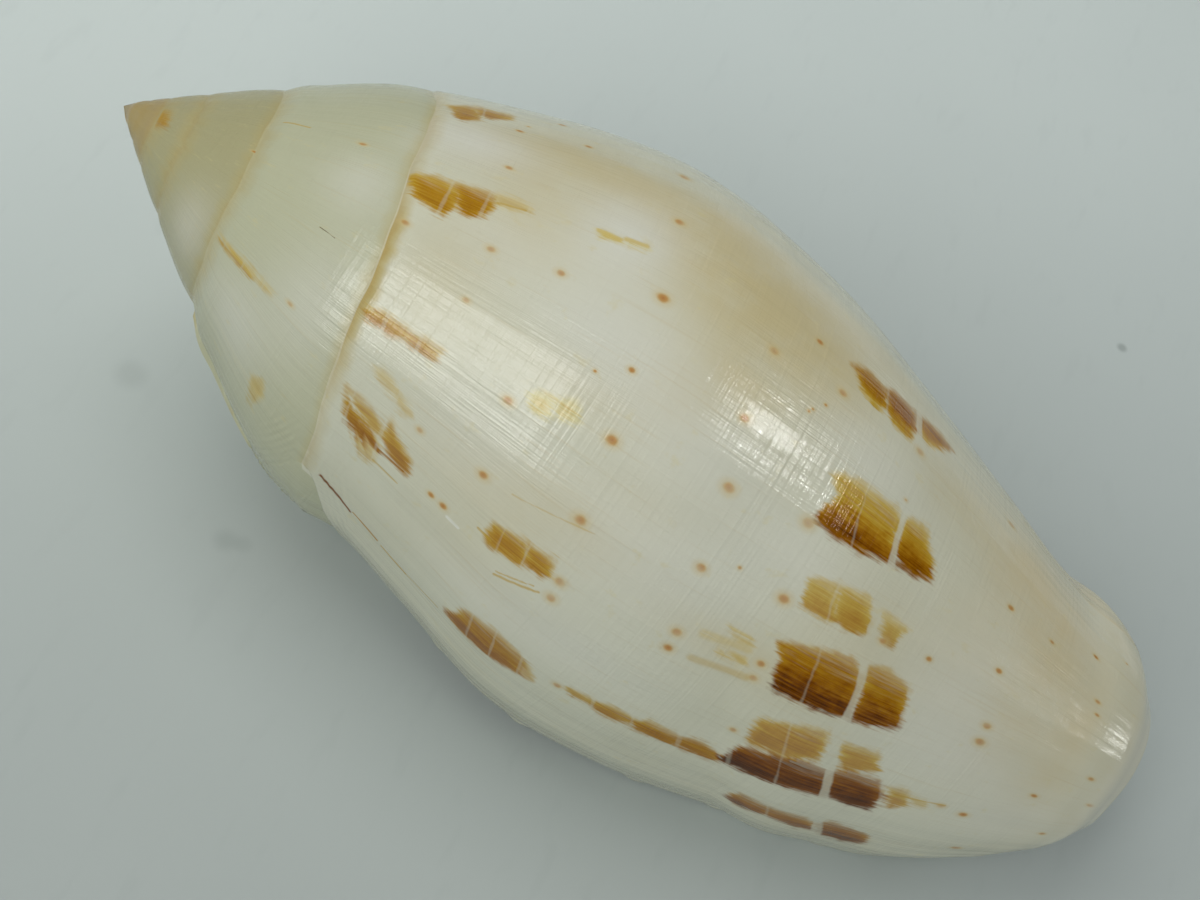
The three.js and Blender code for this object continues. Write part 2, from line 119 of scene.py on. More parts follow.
# small dots: turn, step, relative size
DOTS = [
    (-0.2412, 534.4, 1.4), (-0.3194, 508.7, 1.25), (-0.2530, 642.6, 1.1), (-0.1989, 550.5, 1.1), (-0.3290, 618, 0.9),
    (-0.2121, 661.6, 1), (-0.2205, 741, 1.1), (-0.1767, 679.3, 0.9), (-0.1663, 682.3, 0.9), (-0.2604, 721.2, 1.1),
    (-0.3354, 694.3, 1), (-0.3425, 791.1, 1), (-0.3704, 924.8, 0.9), (-0.2981, 950.4, 0.8), (-0.2513, 969, 0.8),
    (-0.2118, 989.9, 0.9), (-0.1988, 993.8, 1.1), (-0.1369, 1034.3, 1), (-0.0923, 1065.2, 0.9), (-0.2329, 895.5, 0.6),
    (-0.4255, 480.6, 0.9), (-0.3733, 491.4, 0.9), (-0.3043, 422.8, 0.8), (-0.2980, 361.2, 0.8), (-0.1856, 461.4, 0.9),
    (-0.1813, 395.4, 0.7), (-0.1529, 449.6, 0.8), (-0.1527, 435.7, 0.7), (-0.1650, 569, 0.9), (-0.1541, 571.7, 1),
    (-0.1837, 760.5, 0.8), (-0.1742, 763.2, 0.8), (-0.1375, 783.7, 0.7), (-0.3060, 795.4, 0.5), (-0.2275, 443.2, 1),
    (-0.2871, 622.8, 0.9), (-0.3214, 683.9, 0.5), (-0.3118, 671.8, 0.35), (-0.3143, 674.4, 0.35), (-0.3554, 654.8, 0.8),
    (-0.2763, 516.9, 0.6), (-0.2659, 490.8, 0.5), (-0.2624, 366.6, 0.6), (-0.4081, 329, 0.7), (-0.3612, 337.5, 0.7),
    (-0.4170, 389.8, 0.7), (-0.4211, 333.8, 0.5), (-0.2865, 286.7, 0.8), (-1.3361, 216.8, 0.7), (-2.2928, 137.7, 0.6),
    (-1.1889, 240.5, 0.7), (-0.3007, 1011.7, 0.6), (-0.1722, 1085.1, 0.8), (-0.1327, 1127.2, 0.7), (-0.3273, 1071.9, 0.8),
    (-0.2836, 1092.3, 0.8), (-0.2709, 1097.5, 0.7), (-0.2089, 1130, 0.8), (-0.1798, 1150.5, 0.8), (-0.2223, 691, 0.5),
    (-0.0183, 519.9, 0.7), (-0.1048, 629.6, 0.8), (-0.1399, 1006.9, 0.8), (-0.2284, 844.2, 0.8), (-0.3530, 1112, 0.5),
]
# fine streaks and lines: (turn, step) to (turn, step), half width in mm, tone, strength
LINES = [
    ((-0.1492, 458), (-0.1491, 471), 0.05, -1.0, 0.9), ((-0.1675, 705), (-0.1723, 757), 0.14, 0.30, 0.4), ((-0.1830, 700), (-0.1870, 742), 0.16, 0.22, 0.4),
    ((-0.0862, 392), (-0.0841, 423), 0.06, 0.42, 0.9), ((-0.0827, 430), (-0.0809, 462), 0.05, 0.35, 0.8),
    ((-0.0809, 462), (-0.0842, 503), 0.04, 0.30, 0.45), ((-0.1431, 520), (-0.1522, 560), 0.05, 0.35, 0.7),
    ((-0.1455, 520), (-0.1535, 553), 0.03, 0.35, 0.6), ((-0.1587, 485), (-0.1582, 499), 0.05, 0.35, 0.7),
    ((-0.1508, 376), (-0.1514, 404), 0.04, 0.75, 0.9), ((-0.1414, 377), (-0.1411, 406), 0.04, 0.40, 0.6),
    # the first line on the next row is painted shade: a dark line in the corner where the lip meets the older whorl
    ((-0.0949, 348), (-0.0842, 388), 0.08, 0.85, 1.0), ((-0.3294, 345), (-0.3322, 369), 0.05, 0.30, 0.6),
    ((-0.3403, 433), (-0.3404, 452), 0.10, 0.20, 0.75), ((-0.3430, 457), (-0.3449, 475), 0.10, 0.20, 0.7),
    ((-0.1372, 959), (-0.1409, 1010), 0.05, 0.30, 0.6), ((-1.3461, 145), (-1.3442, 167), 0.05, 0.35, 0.7),
    ((-1.2523, 226), (-1.2513, 242), 0.022, 1.2, 0.9), ((-0.1880, 491), (-0.1975, 568), 0.03, 0.25, 0.35),
    ((-0.2255, 305), (-0.2262, 372), 0.03, 0.70, 0.6),
]
# soft clouds of ground colour: turn, step, half sizes in turns and steps, strength
TAN = [(-0.352, 586, 0.043, 100, 1.00), (-0.375, 501, 0.029, 74, 0.80), (-0.347, 659, 0.025, 63, 0.80), (-0.398, 368, 0.022, 74, 0.70),
       (-0.334, 382, 0.036, 47, 0.55), (-0.386, 447, 0.017, 63, 0.70), (-0.270, 334, 0.038, 42, 0.35), (-0.256, 496, 0.016, 63, 0.35),
       (-0.372, 342, 0.023, 42, 0.50), (-0.181, 485, 0.019, 74, 0.40), (-0.196, 544, 0.012, 63, 0.45), (-0.183, 733, 0.012, 74, 0.45),
       (-0.222, 824, 0.033, 63, 0.30), (-0.338, 852, 0.023, 63, 0.40), (-0.343, 943, 0.036, 52, 0.50), (-0.224, 583, 0.012, 42, 0.25),
       (-0.385, 749, 0.017, 74, 0.40), (-0.138, 496, 0.016, 52, 0.25), (-0.283, 568, 0.018, 42, 0.50), (-0.303, 602, 0.012, 37, 0.60)]
# pale clouds: the four on the penultimate whorl (turns -1.13 to -1.36) are painted highlight and painted light on that
# whorl, the other rows are the shell's own pale patches
PALE_AND_HIGHLIGHT = [(-1.20, 258, 0.045, 42, 0.60), (-1.30, 235, 0.025, 30, 0.55), (-1.13, 205, 0.04, 40, 0.70), (-2.14, 122, 0.06, 22, 0.60),
         (-1.36, 262, 0.02, 24, 0.35), (-0.344, 457, 0.030, 44, 1.00), (-0.375, 300, 0.021, 50, 0.90), (-0.286, 476, 0.025, 63, 0.60), (-0.283, 518, 0.025, 52, 0.50),
         (-0.261, 603, 0.024, 74, 0.60), (-0.202, 620, 0.035, 116, 0.55), (-0.122, 525, 0.018, 63, 0.40), (-0.135, 602, 0.017, 94, 0.50),
         (-0.216, 939, 0.046, 63, 0.50), (-0.143, 1082, 0.028, 63, 0.50), (-0.197, 435, 0.027, 63, 0.40), (-0.311, 745, 0.020, 63, 0.50),
         (-0.242, 733, 0.019, 63, 0.45), (-0.306, 364, 0.022, 37, 0.35), (-0.181, 988, 0.024, 63, 0.50)]
PINK = [(-0.309, 1020, 0.072, 47, 1.00), (-0.256, 1082, 0.066, 32, 0.80), (-0.334, 962, 0.037, 47, 0.70), (-0.256, 939, 0.048, 63, 0.45),
        (-0.207, 1011, 0.044, 42, 0.35), (-0.183, 1096, 0.031, 37, 0.40)]
# the spiral line at which the large blotches break, and the even rows of breaks above and below it
BREAK_T = [-1, -0.5, -0.36, -0.28, -0.25, -0.23, -0.2, -0.16, -0.13, -0.08, 0]
BREAK_Z = [610, 742, 783, 805, 820, 828, 850, 870, 893, 930, 985]
BREAKS = [200, 240, 276, 314, 348, 385, 430, 478, 502, 530, 565, 600, 637, 681, 728, 774, 820, 872, 920, 975, 1030, 1090]
# small swellings of the growth edge at the lip, steps from the tip
LIP_BUMPS = [539, 648, 781, 869, 978, 1070]


# ---------- curves ----------
def curve(x, y, v):
    """Smooth curve through (x, y); y holds one row, or one row for each value."""
    v, x, y = np.asarray(v, float), np.asarray(x, float), np.asarray(y, float)
    h = np.diff(x)
    d = np.diff(y, axis=-1) / h
    m = np.zeros_like(y)
    m[..., 1:-1] = (d[..., :-1] * h[1:] + d[..., 1:] * h[:-1]) / (h[:-1] + h[1:])
    m[..., 0] = 1.5 * d[..., 0] - 0.5 * m[..., 1]
    m[..., -1] = 1.5 * d[..., -1] - 0.5 * m[..., -2]
    i = np.clip(np.searchsorted(x, v, side="right") - 1, 0, len(x) - 2)
    w = x[i + 1] - x[i]
    s = (v - x[i]) / w
    if y.ndim == 1:
        def at(a, j):
            return a[j]
    else:
        def at(a, j):
            return np.take_along_axis(a, j[..., None], -1)[..., 0]
    return (at(y, i) * (1 + 2 * s) * (1 - s) ** 2 + at(m, i) * w * s * (1 - s) ** 2
            + at(y, i + 1) * s * s * (3 - 2 * s) + at(m, i + 1) * w * s * s * (s - 1))


def ease(v):
    s = np.clip(v, 0, 1)
    return s * s * (3 - 2 * s)


def suture(t):
    t = np.asarray(t, float)
    waver = 0.006 * np.sin(2 * np.pi * 7.1 * t + 0.6) + 0.002 * np.sin(2 * np.pi * 17 * t + 2.2) + 0.0007 * np.sin(2 * np.pi * 37 * t)
    return np.exp(curve(SUTURE_T, SUTURE_L, t)) * (1 + waver * ease((0.2 - t) / 0.2))


def spire_radius(z):
    return z * (0.86 - 0.00055 * z)


def key_rows(table, t):
    u = np.clip(t, -1, 0)
    return np.stack([curve(KEY_T, table[:, j], u) for j in range(table.shape[1])], -1)


SWELL = (BAND_R[0] - (BAND_R[0][0] + (BAND_R[0][6] - BAND_R[0][0]) * np.array(BAND_F))) / (suture(0.0) - suture(-1.0))


def band_radius(t, f):
    t, f = np.broadcast_arrays(np.asarray(t, float), np.asarray(f, float))
    a, b = suture(t), suture(t + 1)
    g = 0.55 + 0.45 * np.clip((t + 2.2) / 1.2, 0, 1)
    old = spire_radius(a) + (spire_radius(b) - spire_radius(a)) * f + curve(BAND_F, SWELL, f) * (b - a) * g
    return np.where(t < -1, old, curve(BAND_F, key_rows(BAND_R, t), f))


def shrink(t):
    return np.where(t < -1, suture(t) / suture(-1.0), 1.0)


def base_radius(t, g):
    t, g = np.broadcast_arrays(np.asarray(t, float), np.asarray(g, float))
    return curve(BASE_G, key_rows(BASE_R, t), g) * shrink(t)


def end(t):
    t = np.asarray(t, float)
    return curve(END_T, END_Z, np.clip(t, -1, 0)) * shrink(t)


def radius(t, z):
    a, b, e = suture(t), suture(t + 1), end(t)
    return np.where(z <= b, band_radius(t, np.clip((z - a) / (b - a), 0, 1)), base_radius(t, np.clip((z - b) / (e - b), 0, 1)))


def back(t):
    return LIP_BACK * np.where(t <= 0, ease((t + 0.22) / 0.22), 1 - ease(t / 0.2))


def place(t, z, r):
    q = 2 * np.pi * np.asarray(t, float)
    return np.stack([r * np.cos(q), -r * np.sin(q), -np.asarray(z, float) + 0 * r], -1)


# ---------- low relief ----------
wave_f = rng.uniform(14, 95, 26)
wave_p = rng.uniform(0, 2 * np.pi, 26)
wave_a = rng.normal(0, 1, 26) / np.sqrt(wave_f / 14)


def growth(t, z):
    """Uneven low ridges that follow the growing edge, in steps."""
    s = sum(a * np.sin(f * 2 * np.pi * t + p + z * 0.0011 * f / 20) for f, p, a in zip(wave_f, wave_p, wave_a))
    return 0.16 * s * np.clip(z / 500, 0.05, 1)


def relief(t, z, a, b, last):
    """Added to the outside radius: suture channels, the rounded edge under them and growth ridges."""
    h = growth(t, z)
    k = np.clip(a / 300, 0.15, 1)
    h = h - 0.4 * k * np.exp(-((z - a) / (6.5 * k)) ** 2) + 0.1 * k * np.exp(-((z - a - 20 * k) / (11 * k)) ** 2)
    if not last:
        kb = np.clip(b / 300, 0.15, 1)
        h = h - 0.35 * kb * np.exp(-((b - z) / (7 * kb)) ** 2)
    return h


# ---------- outside ----------
def steps_to(start, stop, size):
    return list(np.linspace(start, stop, max(2, int(round((stop - start) / size)) + 1)))


frac = steps_to(0, 0.5, 0.0052)[:-1] + steps_to(0.5, 0.9, 0.0026)[:-1] + steps_to(0.9, 0.985, 0.0022)[:-1] + steps_to(0.985, 0.9945, 0.0013)[:-1]
frac += [0.9945, 0.9958, 0.9968, 0.9977, 0.9985, 0.9991, 0.9996]
FRAC = np.array(frac)
NC = len(FRAC)
TURN = np.concatenate([k - 6 + FRAC for k in range(6)] + [[0.0]])
N = 6 * NC
near = [0.012, 0.024, 0.036, 0.05, 0.065, 0.08, 0.1, 0.12, 0.14]
ROWS = [np.array(r) for r in (
    [0, 0.3, 0.65, 1], [0, 0.2, 0.5, 0.8, 1], [0, 0.08, 0.2, 0.4, 0.6, 0.8, 0.93, 1],
    [0, 0.04, 0.1, 0.18, 0.28, 0.4, 0.52, 0.64, 0.76, 0.86, 0.93, 0.97, 1],
    [0, 0.02, 0.045, 0.07, 0.1, 0.14, 0.19] + list(np.linspace(0.24, 0.92, 18)) + [0.945, 0.965, 0.983, 1],
    [0] + near + list(np.linspace(0.152, 1, 76)))]
BASE_ROWS = np.concatenate([np.linspace(0, 0.5, 33)[1:], np.linspace(0.5, 0.93, 22)[1:], [0.945, 0.96, 0.972, 0.982, 0.991, 1]])

class Build:
    """Collects the vertices and triangles of one closed surface, with the pattern coordinates of every corner."""

    def __init__(self):
        self.points, self.tris, self.uv, self.n = [], [], [], 0

    def add(self, p):
        p = np.atleast_2d(p)
        self.points.append(p)
        self.n += len(p)
        return np.arange(self.n - len(p), self.n)

    def faces(self, ids, uv):
        """ids (n, 3), uv (n, 3, 2)"""
        keep = (ids[:, 0] != ids[:, 1]) & (ids[:, 1] != ids[:, 2]) & (ids[:, 0] != ids[:, 2])
        self.tris.append(ids[keep])
        self.uv.append(uv[keep])

    def grid(self, ids, uv):
        """ids (rows, columns), uv (rows, columns, 2)"""
        a0, a1, b1, b0 = ids[:-1, :-1], ids[1:, :-1], ids[1:, 1:], ids[:-1, 1:]
        u0, u1, v1, v0 = uv[:-1, :-1], uv[1:, :-1], uv[1:, 1:], uv[:-1, 1:]
        self.faces(np.stack([a0, a1, b1], -1).reshape(-1, 3), np.stack([u0, u1, v1], -2).reshape(-1, 3, 2))
        self.faces(np.stack([a0, b1, b0], -1).reshape(-1, 3), np.stack([u0, v1, v0], -2).reshape(-1, 3, 2))

    def zip(self, a, pa, ua, b, pb, ub):
        """Triangles between two columns with their own numbers of rows."""
        i = j = 0
        ids, uv = [], []
        while i < len(a) - 1 or j < len(b) - 1:
            if j == len(b) - 1 or (i < len(a) - 1 and pa[i + 1] <= pb[j + 1] + 1e-9):
                ids.append((a[i], a[i + 1], b[j]))
                uv.append((ua[i], ua[i + 1], ub[j]))
                i += 1
            else:
                ids.append((a[i], b[j + 1], b[j]))
                uv.append((ua[i], ub[j + 1], ub[j]))
                j += 1
        self.faces(np.array(ids), np.array(uv, float))

    def fan(self, centre, a, b, uv):
        ids = np.stack([np.full(len(a), centre), a, b], -1)
        self.faces(ids, np.broadcast_to(np.asarray(uv, float), (len(a), 3, 2)))

    def arrays(self):
        return np.concatenate(self.points), np.concatenate(self.tris), np.concatenate(self.uv)


def lip_shape(t, z, fade):
    """Rounded lip and its small swellings, added to the outside radius."""
    s = np.clip((t + 0.0055) / 0.0055, 0, 1)
    r = -LIP_ROUND * (1 - np.sqrt(np.clip(1 - s * s, 0, 1)))
    for c in LIP_BUMPS:
        r = r + 4.5 * np.exp(-((z - c) / 13) ** 2) * ease((t + 0.012) / 0.012)
    return r * fade


outside = Build()
below, above = [], []      # steps from the suture above and from the suture below, for every vertex
V, UV = [], []
for k in range(6):
    t = k - 6 + FRAC
    if k == 5:
        t = np.append(t, 0.0)
    rows, uvs = [], []
    for j, f in enumerate(ROWS[k]):
        shift = back(t) * (1 - ease(f / 0.14)) + np.where(t < -1.3, 0, back(t + 1) * ease((f - 0.6) / 0.4))
        u = t + shift
        a, b = suture(u), suture(u + 1)
        z = a + (b - a) * f
        uvs.append(np.stack([u, z], -1))
        if j == 0 and k > 0:
            rows.append(None)
            continue
        r = band_radius(u, np.full_like(u, f)) + relief(u, z, a, b, k == 5)
        if k == 5:
            r = r + lip_shape(t, z, ease(f / 0.05))
        rows.append(outside.add(place(u, z, r)))
        below.append(z - a if k == 5 or j < len(ROWS[k]) - 1 else 0 * z)
        above.append(b - z if k < 5 else 0 * z + 400)
    if k > 0:
        first = V[k - 1][-1]
        rows[0] = np.append(first, rows[-1][0]) if k == 5 else first
    V.append(np.array(rows))
    UV.append(np.array(uvs))
base_rows, base_uv = [V[5][-1]], [UV[5][-1]]
t = np.append(FRAC - 1, 0.0)
for g in BASE_ROWS:
    u = t + back(t + 1) * (1 - ease(g / 0.3))
    b, e = suture(u + 1), end(u)
    z = b + (e - b) * g
    r = base_radius(u, np.full_like(u, g)) + growth(u, z) * (1 - ease((g - 0.8) / 0.2)) + 4.0 * np.exp(-((g - 0.95) / 0.025) ** 2)
    r = r + lip_shape(t, z, 1 - ease((g - 0.85) / 0.15))
    base_rows.append(outside.add(place(u, z, r)))
    below.append(0 * z + 400)
    above.append(0 * z + 400)
    base_uv.append(np.stack([u, z], -1))
BV, BUV = np.array(base_rows), np.array(base_uv)
for k in range(6):
    outside.grid(V[k], UV[k])
    if k < 5:
        outside.zip(V[k][:, -1], ROWS[k], UV[k][:, -1], V[k + 1][:, 0], ROWS[k + 1], UV[k + 1][:, 0])
outside.grid(BV, BUV)
# tip
tip = outside.add([0, 0, -3.0])[0]
ring = np.append(V[0][0], V[0][-1][0])
outside.fan(tip, ring[:-1], ring[1:], (-6, 5))
outside.fan(tip, V[0][1:, 0], V[0][:-1, 0], (-6, 5))
# the plane of the opening, between outer lip and older whorl
lip = np.concatenate([V[5][:, -1], BV[1:, -1]])
lip_uv = np.concatenate([UV[5][:, -1], BUV[1:, -1]])
pts = np.concatenate(outside.points)


def reach(ids):
    return np.concatenate([[0], np.cumsum(np.abs(np.diff(pts[ids, 2])))])


outside.zip(lip, reach(lip), lip_uv, BV[:, 0], reach(BV[:, 0]), BUV[:, 0] + [1, 0])
# front end
nose = outside.add([14.0, 22.0, -1128.0])[0]
outside.fan(nose, BV[-1, 1:], BV[-1, :-1], (-0.3, 1150))
outside.fan(nose, BV[-1, :1], BV[-1, -1:], (-0.3, 1150))
below = np.concatenate([*below, [400, 400]])
above = np.concatenate([*above, [400, 400]])

# ---------- hollow ----------
OUT_N, IN_N = 46, 92


def wall(t):
    w = LIP_WALL + (WALL - LIP_WALL) * ease(-t / 0.16)
    s = np.clip((t + 0.006) / 0.006, 0, 1)
    return w - 7.0 * (1 - np.sqrt(np.clip(1 - s * s, 0, 1)))


def glaze(t):
    return 1.2 + (CALLUS - 1.2) * ease(-t / 0.1) + 120 * max(t, 0)


def fold(t, z):
    k = suture(t) / suture(0.0) if t < 0 else 1.0
    h = sum(high * k * np.exp(-((z / k - c) / half) ** 2) for c, high, half in FOLDS)
    return h * (1 - ease((t + 0.08) / 0.08))


def inner(t, z):
    e = end(t - 1)
    r = np.where(z < e, radius(t - 1, np.minimum(z, e - 1e-6)), 0)
    k = np.clip(suture(t) / suture(0.0), 0.3, 1)
    return np.maximum(r + glaze(t), PILLAR * (0.55 + 0.45 * k)) + fold(t, z)


def outer(t, z):
    return radius(min(t, 0.0), np.minimum(z, end(t))) - wall(t)


stations = [0.13, 0.09, 0.06, 0.04, 0.025, 0.012, 0.004, 0.0, -0.001, -0.002, -0.003, -0.0045, -0.006]
while stations[-1] > -0.12:
    stations.append(stations[-1] - 0.005)
while stations[-1] > -0.6:
    stations.append(stations[-1] - 0.011)
while stations[-1] > -1.6:
    stations.append(stations[-1] - 0.03)
stations.reverse()
hollow = Build()
rings, ring_uv = [], []
for t in stations:
    a, top, e = float(suture(t)), float(end(t)), float(end(t)) + 60
    zs = np.arange(a, e, 1.0)
    free = outer(t, zs) - inner(t, zs)
    ok = np.nonzero(free >= 3)[0]
    z0 = zs[ok[0]] if len(ok) else e
    stop = np.nonzero((zs > z0) & ((free <= 3) | (zs >= top - 14)))[0]
    z1 = zs[stop[0]] if len(stop) else top - 14
    z1 += (e - z1) * float(ease((t + 0.52) / 0.1))
    s = np.arange(1, OUT_N + 1) / OUT_N
    zo = z0 + (z1 - z0) * (0.35 * s * s + 0.65 * s)
    zi = z0 + (z1 - z0) * np.arange(IN_N, 0, -1) / IN_N
    mid = (outer(t, np.array([z0])) + inner(t, np.array([z0]))) / 2
    z = np.concatenate([[z0], zo, zi])
    r = np.concatenate([mid, np.maximum(outer(t, zo), inner(t, zo) + 1.5), inner(t, zi)])
    rings.append(hollow.add(place(t, z, r)))
    ring_uv.append(np.stack([np.full_like(z, t), z], -1))
H, HUV = np.array(rings), np.array(ring_uv)
loop = np.concatenate([H, H[:, :1]], 1)
loop_uv = np.concatenate([HUV, HUV[:, :1]], 1)
hollow.grid(loop.T, loop_uv.transpose(1, 0, 2))
for row, flip in ((0, False), (-1, True)):
    A, B = H[row, :OUT_N + 1], np.concatenate([H[row, :1], H[row, :OUT_N:-1]])
    uA, uB = HUV[row, :OUT_N + 1], np.concatenate([HUV[row, :1], HUV[row, :OUT_N:-1]])
    if flip:
        hollow.zip(A, uA[:, 1], uA, B, uB[:, 1], uB)
    else:
        hollow.zip(B, uB[:, 1], uB, A, uA[:, 1], uA)


# ---------- pattern carried by the outside ----------
def break_z(t):
    return np.interp(t, BREAK_T, BREAK_Z, left=None, right=None)


def scaled(t, z):
    """Step as it would be on the facing side, where the spiral break stands at 820."""
    g = break_z(np.clip(t, -1, 0)) * np.where(t < -1, suture(np.minimum(t, -1)) / suture(-1.0), 1)
    return z * 820 / g


vert_uv = np.zeros((outside.n, 2))
tri_ids, tri_uv = np.concatenate(outside.tris), np.concatenate(outside.uv)
for c in range(3):
    vert_uv[tri_ids[:, c]] = tri_uv[:, c]
T0, Z0 = vert_uv[:, 0], vert_uv[:, 1]

marks = [(a, b, s, np.array(p)) for a, b, s, p in MARKS]
# the hidden sides carry marks of the same kinds, shifted round the whorl
facing = [m for m in marks if m[3][:, 0].mean() > -1 and m[2] > 0.6]
groups = [[m for m in facing if lo < m[3][:, 0].mean() < hi and z_lo < m[3][:, 1].mean() < z_hi]
          for lo, hi, z_lo, z_hi in ((-0.40, -0.33, 680, 840), (-0.32, -0.25, 680, 860), (-0.25, -0.215, 740, 870), (-0.215, -0.17, 740, 920),
                                     (-0.165, -0.11, 790, 960), (-0.34, -0.29, 260, 350), (-0.24, -0.21, 290, 380), (-0.18, -0.14, 310, 410),
                                     (-0.19, -0.15, 480, 560), (-0.12, -0.08, 510, 610))]
dots = [tuple(d) for d in DOTS]
for column, t_new in enumerate(np.arange(-0.97, -0.46, 0.068)):
    for kinds, chance in (((0, 1, 2, 3, 4), 0.9), ((5, 6, 7), 0.75), ((8, 9), 0.5)):
        if rng.random() > chance:
            continue
        g = groups[kinds[int(rng.integers(len(kinds)))]]
        centre = np.mean(np.concatenate([m[3][:, 0] for m in g]))
        dt = t_new + rng.uniform(-0.012, 0.012) - centre
        grow = rng.uniform(0.94, 1.05)
        for a, b, s, p in g:
            q = p.copy()
            q[:, 0] = centre + (p[:, 0] - centre) * rng.uniform(0.8, 1.15) + dt
            q[:, 1] = p[:, 1] * break_z(q[:, 0]) / break_z(p[:, 0]) * grow
            marks.append((a, b, s * 0.95, q))
for _ in range(22):
    dots.append((float(rng.uniform(-0.98, -0.44)), float(rng.uniform(330, 1000)), float(rng.uniform(0.5, 1.15))))

signed = np.full(outside.n, 9.0)
own = np.zeros((outside.n, 4))       # tone at the older edge, at the newer edge, strength, place between the edges
for a, b, s, p in marks:
    tc, zc = p[:, 0].mean(), p[:, 1].mean()
    w = 2 * np.pi * float(radius(tc, zc))
    x, z = (T0 - tc) * w, Z0 - zc
    px, pz = (p[:, 0] - tc) * w, (p[:, 1] - zc) * 1.0
    pz = pz + np.sign(pz) * 2.5 * np.clip(np.abs(pz) / np.abs(pz).max() * 1.5 - 0.4, 0, 1)
    idx = np.nonzero((np.abs(x) < np.abs(px).max() + 60) & (np.abs(z) < np.abs(pz).max() + 60))[0]
    if not len(idx):
        continue
    x, z = x[idx], z[idx]
    d2, inside = np.full(len(x), 1e9), np.zeros(len(x), bool)
    for i in range(len(px)):
        x0, z0, x1, z1 = px[i - 1], pz[i - 1], px[i], pz[i]
        h = np.clip(((x - x0) * (x1 - x0) + (z - z0) * (z1 - z0)) / ((x1 - x0) ** 2 + (z1 - z0) ** 2 + 1e-9), 0, 1)
        d2 = np.minimum(d2, (x - x0 - h * (x1 - x0)) ** 2 + (z - z0 - h * (z1 - z0)) ** 2)
        inside ^= ((z0 > z) != (z1 > z)) & (x < (x1 - x0) * (z - z0) / (z1 - z0 + 1e-12) + x0)
    d = np.sqrt(d2) * np.where(inside, -1, 1) * MM
    better = d < signed[idx]
    pick = idx[better]
    signed[pick] = d[better] - (0.1 if tc > -0.125 else 0.05 if zc < 420 else 0.0)
    own[pick] = np.stack([np.full(len(pick), a), np.full(len(pick), b), np.full(len(pick), s),
                          (x[better] - px.min()) / (px.max() - px.min())], -1)


def clouds(table):
    out = np.zeros(outside.n)
    for t, z, dt, dz, s in table:
        out = 1 - (1 - out) * (1 - s * np.exp(-(((T0 - t) / (dt * 1.1)) ** 2 + ((Z0 - z) / (dz * 1.1)) ** 2)))
    return out


more = []
for _ in range(9):
    more.append((float(rng.uniform(-0.97, -0.47)), float(rng.uniform(320, 850)), float(rng.uniform(0.02, 0.045)), float(rng.uniform(45, 95)),
                 float(rng.uniform(0.3, 0.9))))
white_more = [(float(rng.uniform(-0.97, -0.47)), float(rng.uniform(300, 1000)), float(rng.uniform(0.015, 0.04)), float(rng.uniform(40, 90)),
               float(rng.uniform(0.3, 0.8))) for _ in range(9)]
phase = np.interp(scaled(T0, Z0), BREAKS, np.arange(len(BREAKS), dtype=float))
fields = {
    "blot": signed, "tone_old": own[:, 0], "tone_new": own[:, 1], "strength": own[:, 2], "across": own[:, 3],
    "breaks": phase, "tan": clouds(TAN + more), "pale_and_highlight": clouds(PALE_AND_HIGHLIGHT + white_more),
    "pink": np.maximum(clouds(PINK), 0.8 * ease((scaled(T0, Z0) - 900) / 180) * np.where(T0 < -0.4, 1, 0.35)),
    "below": np.minimum(below, 200) * MM, "above": np.minimum(above, 200) * MM,
    "age": np.clip(-T0, 0, 6), "front": np.clip((end(np.clip(T0, -1, 0)) - Z0) / 60, 0, 3),
}
EMPTY = {"blot": 9.0, "below": 8.0, "above": 8.0, "front": 3.0}


# ---------- solid in Blender ----------
def to_object(name, build, values, slot_index):
    p, f, uv = build.arrays()
    v = [p[f[:, i]] for i in range(3)]
    if (np.einsum("ij,ij->i", v[0], np.cross(v[1], v[2])).sum()) < 0:
        f, uv = f[:, ::-1], uv[:, ::-1]
    p = p @ AXES.T * K + TIP
    me = bpy.data.meshes.new(name)
    me.vertices.add(len(p))
    me.vertices.foreach_set("co", p.astype(np.float32).ravel())
    me.loops.add(len(f) * 3)
    me.loops.foreach_set("vertex_index", np.ascontiguousarray(f, dtype=np.int32).ravel())
    me.polygons.add(len(f))
    me.polygons.foreach_set("loop_start", np.arange(0, len(f) * 3, 3, dtype=np.int32))
    me.polygons.foreach_set("material_index", np.full(len(f), slot_index, np.int32))
    layer = me.uv_layers.new(name="growth")
    layer.data.foreach_set("uv", (uv.reshape(-1, 2) * [1.0, MM]).astype(np.float32).ravel())
    for key in fields:
        at = me.attributes.new(key, "FLOAT", "POINT")
        data = values[key] if values else np.full(len(p), EMPTY.get(key, 0.0))
        at.data.foreach_set("value", data.astype(np.float32))
    me.update(calc_edges=True)
    me.validate()
    ob = bpy.data.objects.new(name, me)
    bpy.context.scene.collection.objects.link(ob)
    return ob


solid = to_object("shell_outside", outside, fields, 0)
cutter = to_object("shell_hollow", hollow, None, 1)


